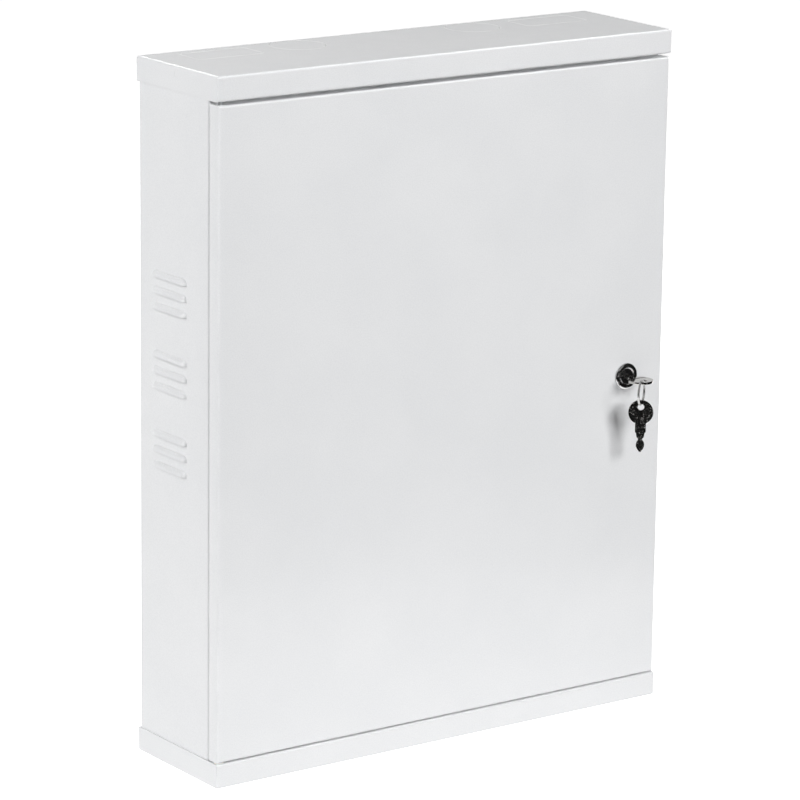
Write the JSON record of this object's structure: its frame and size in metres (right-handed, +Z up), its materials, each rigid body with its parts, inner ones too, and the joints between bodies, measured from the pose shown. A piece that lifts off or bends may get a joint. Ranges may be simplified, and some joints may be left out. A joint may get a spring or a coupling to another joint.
{
  "type": "key cabinet",
  "caption": "Wall-hung sheet-steel key cabinet: folded body with side louvres, wrap-round end caps, flush pin-hinged door, cam lock with keys, and numbered hook rails inside.",
  "frame": {"origin": "centre of the four wall-fixing holes, on the plane that lies against the wall", "axes": "+X to the right across the front, +Y from the front into the wall, +Z up"},
  "size_m": [0.4532, 0.1537, 0.581],
  "materials": {
    "white_paint": "fine textured light grey-white powder coat, satin",
    "zinc_steel": "bright zinc plate",
    "lock_chrome": "polished nickel-chrome plate",
    "key_nickel": "nickel plate, lightly worn",
    "ring_steel": "polished steel wire",
    "brass": "stamped",
    "spring_steel": "drawn wire",
    "nylon": "natural nylon",
    "rubber": "matt",
    "clear_plastic": "moulded, light grey",
    "card": "coated card",
    "strip_plastic": "white label strip"
  },
  "bodies": {
    "cabinet": {"body_shell": "white_paint", "top_cap": "white_paint", "bottom_cap": "white_paint", "rail_upright_left": "white_paint", "rail_upright_right": "white_paint", "upright_rivets": "zinc_steel", "rail_screws": "zinc_steel", "hook_rail_1": "white_paint", "hook_rail_2": "white_paint", "hook_rail_3": "white_paint", "hook_rail_4": "white_paint", "hook_rail_5": "white_paint", "hook_rail_6": "white_paint", "hook_rail_7": "white_paint", "hook_rail_8": "white_paint", "hooks_1": "zinc_steel", "hooks_2": "zinc_steel", "hooks_3": "zinc_steel", "hooks_4": "zinc_steel", "hooks_5": "zinc_steel", "hooks_6": "zinc_steel", "hooks_7": "zinc_steel", "hooks_8": "zinc_steel", "number_strip_1": "strip_plastic", "number_strip_2": "strip_plastic", "number_strip_3": "strip_plastic", "number_strip_4": "strip_plastic", "number_strip_5": "strip_plastic", "number_strip_6": "strip_plastic", "number_strip_7": "strip_plastic", "number_strip_8": "strip_plastic", "hinge_pin_top": "zinc_steel", "hinge_pin_bottom": "zinc_steel", "hinge_washer": "nylon", "door_buffers": "rubber", "cam_keeper": "zinc_steel"},
    "door": {"door_panel": "white_paint", "door_stiffener": "white_paint", "index_holder": "clear_plastic", "index_card": "card", "lock_housing": "lock_chrome", "lock_nut": "zinc_steel"},
    "lock_core": {"lock_plug": "lock_chrome", "lock_wafers": "brass", "wafer_springs": "spring_steel", "lock_cam": "zinc_steel", "cam_washer": "zinc_steel", "cam_screw": "zinc_steel"},
    "key": {"key": "key_nickel"},
    "ring": {"key_ring": "ring_steel"},
    "spare": {"spare_key": "key_nickel"}
  },
  "joints": [
    {"name": "door_hinge", "type": "hinge", "parent": "cabinet", "child": "door", "pos_m": [-0.2195, -0.1129, 0], "axis": [0, 0, -1], "range_deg": [0, 180]},
    {"name": "lock_turn", "type": "hinge", "parent": "door", "child": "lock_core", "pos_m": [0.1855, -0.118, -0.0016], "axis": [0, -1, 0], "range_deg": [0, 90]},
    {"name": "key_slide", "type": "slide", "parent": "lock_core", "child": "key", "axis": [0, -1, 0], "range_m": [0, 0.02]},
    {"name": "ring_swing", "type": "hinge", "parent": "key", "child": "ring", "pos_m": [0.18001, -0.14635, -0.0016], "axis": [0.7848, 0.6198, 0], "range_deg": [-10, 10]},
    {"name": "spare_swing", "type": "hinge", "parent": "ring", "child": "spare", "pos_m": [0.18001, -0.14635, -0.01985], "axis": [0.7848, 0.6198, 0], "range_deg": [-12, 12]}
  ]
}
